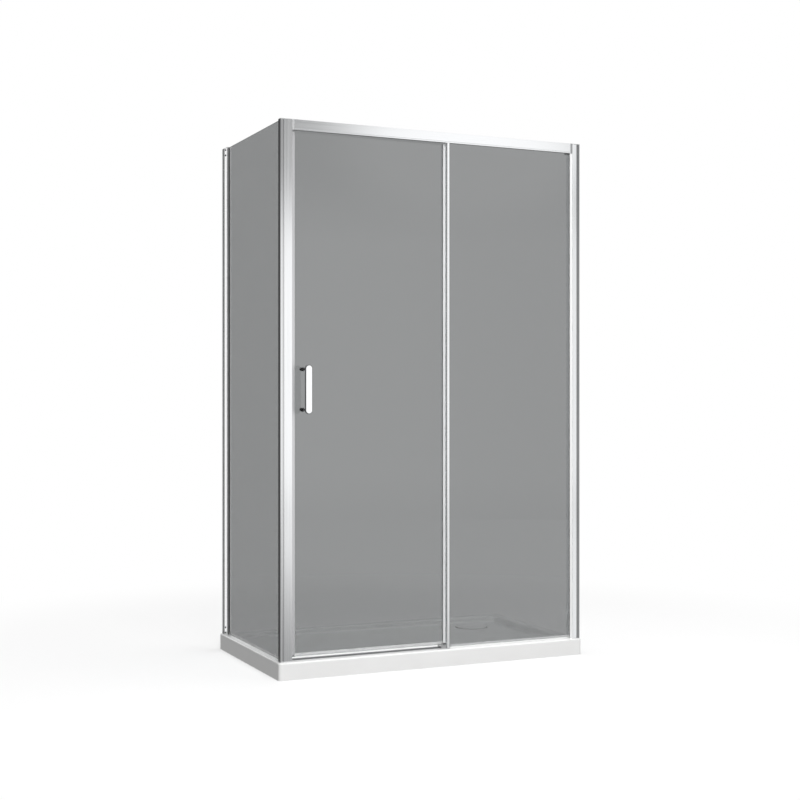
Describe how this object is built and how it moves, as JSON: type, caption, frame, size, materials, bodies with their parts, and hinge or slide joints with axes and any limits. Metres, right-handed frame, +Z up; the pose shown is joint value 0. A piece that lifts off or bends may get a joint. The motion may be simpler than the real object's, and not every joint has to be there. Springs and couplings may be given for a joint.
{
  "type": "shower enclosure",
  "caption": "Rectangular corner shower enclosure on a low white tray, with a glass side panel, a fixed front pane and a sliding glass door that rolls behind it.",
  "frame": {"origin": "middle of the tray's underside, at floor level", "axes": "+X along the front from the corner post to the right wall, +Y from the front to the back wall, +Z up"},
  "size_m": [1.2, 0.7207, 1.93],
  "materials": {
    "tray_acrylic": "gloss white",
    "cover_white": "gloss white",
    "core_resin": "cast, white",
    "waste_plastic": "moulded grey",
    "dark_rubber": "matt",
    "polished_aluminium": "bright polished and anodised",
    "threshold_aluminium": "satin",
    "cap_plastic": "silver moulded",
    "bead_plastic": "white soft bead",
    "magnet_seal": "soft grey",
    "clear_seal": "clear",
    "clear_glass": "clear toughened",
    "chrome": "mirror",
    "steel": "bright",
    "nylon": "natural"
  },
  "bodies": {
    "enclosure": {"shower_tray": "tray_acrylic", "tray_core": "core_resin", "waste_flange": "waste_plastic", "waste_gasket": "dark_rubber", "waste_lock_nut": "waste_plastic", "side_corner_post": "polished_aluminium", "front_corner_jamb": "polished_aluminium", "corner_screws": "steel", "jamb_magnet_seal": "magnet_seal", "corner_post_cap": "cap_plastic", "wall_channel_right": "polished_aluminium", "right_jamb": "polished_aluminium", "right_jamb_cap": "cap_plastic", "fixed_glass_gasket": "bead_plastic", "wall_channel_left": "polished_aluminium", "side_wall_jamb": "polished_aluminium", "jamb_screws": "steel", "side_jamb_cap": "cap_plastic", "side_glass": "clear_glass", "side_glass_gasket_front": "dark_rubber", "side_glass_gasket_back": "dark_rubber", "side_bottom_seal": "clear_seal", "rail_end_cap_left": "cap_plastic", "rail_end_cap_right": "cap_plastic", "head_rail": "polished_aluminium", "rail_screws": "steel", "rail_stop_left": "dark_rubber", "rail_stop_right": "dark_rubber", "fixed_rail_gasket": "dark_rubber", "fixed_glass": "clear_glass", "fixed_leading_profile": "polished_aluminium", "overlap_seal": "clear_seal", "fixed_bottom_seal": "clear_seal", "threshold_strip": "threshold_aluminium", "bottom_guide": "chrome", "guide_screws": "steel", "guide_insert": "nylon"},
    "door": {"door_glass": "clear_glass", "door_leading_profile": "polished_aluminium", "door_trailing_profile": "polished_aluminium", "door_magnet_seal": "magnet_seal", "door_bottom_seal": "clear_seal", "roller_carriage_left": "steel", "roller_carriage_right": "steel", "carriage_clamp_plates": "steel", "carriage_bolts": "steel", "wheel_axles": "steel", "handle_bar": "chrome", "handle_stems": "chrome", "handle_washers": "dark_rubber", "handle_inner_caps": "chrome"},
    "wheel_1": {"wheel_1": "nylon"},
    "wheel_2": {"wheel_2": "nylon"},
    "wheel_3": {"wheel_3": "nylon"},
    "wheel_4": {"wheel_4": "nylon"},
    "waste_cover": {"waste_cover": "cover_white"}
  },
  "joints": [
    {"name": "door_slide", "type": "slide", "parent": "enclosure", "child": "door", "axis": [1, 0, 0], "range_m": [0, 0.5]},
    {"name": "wheel_1_spin", "type": "hinge", "parent": "door", "child": "wheel_1", "pos_m": [-0.4775, -0.2937, 1.9113], "axis": [0, 1, 0], "range_deg": [0, 3185.1]},
    {"name": "wheel_2_spin", "type": "hinge", "parent": "door", "child": "wheel_2", "pos_m": [-0.4335, -0.2937, 1.9113], "axis": [0, 1, 0], "range_deg": [0, 3185.1]},
    {"name": "wheel_3_spin", "type": "hinge", "parent": "door", "child": "wheel_3", "pos_m": [-0.0575, -0.2937, 1.9113], "axis": [0, 1, 0], "range_deg": [0, 3185.1]},
    {"name": "wheel_4_spin", "type": "hinge", "parent": "door", "child": "wheel_4", "pos_m": [-0.0135, -0.2937, 1.9113], "axis": [0, 1, 0], "range_deg": [0, 3185.1]},
    {"name": "cover_lift", "type": "slide", "parent": "enclosure", "child": "waste_cover", "axis": [0, 0, 1], "range_m": [0, 0.05]}
  ],
  "couplings": [
    {"joint": "wheel_1_spin", "follows": "door_slide", "rad_per_m": 111.11},
    {"joint": "wheel_2_spin", "follows": "door_slide", "rad_per_m": 111.11},
    {"joint": "wheel_3_spin", "follows": "door_slide", "rad_per_m": 111.11},
    {"joint": "wheel_4_spin", "follows": "door_slide", "rad_per_m": 111.11}
  ]
}
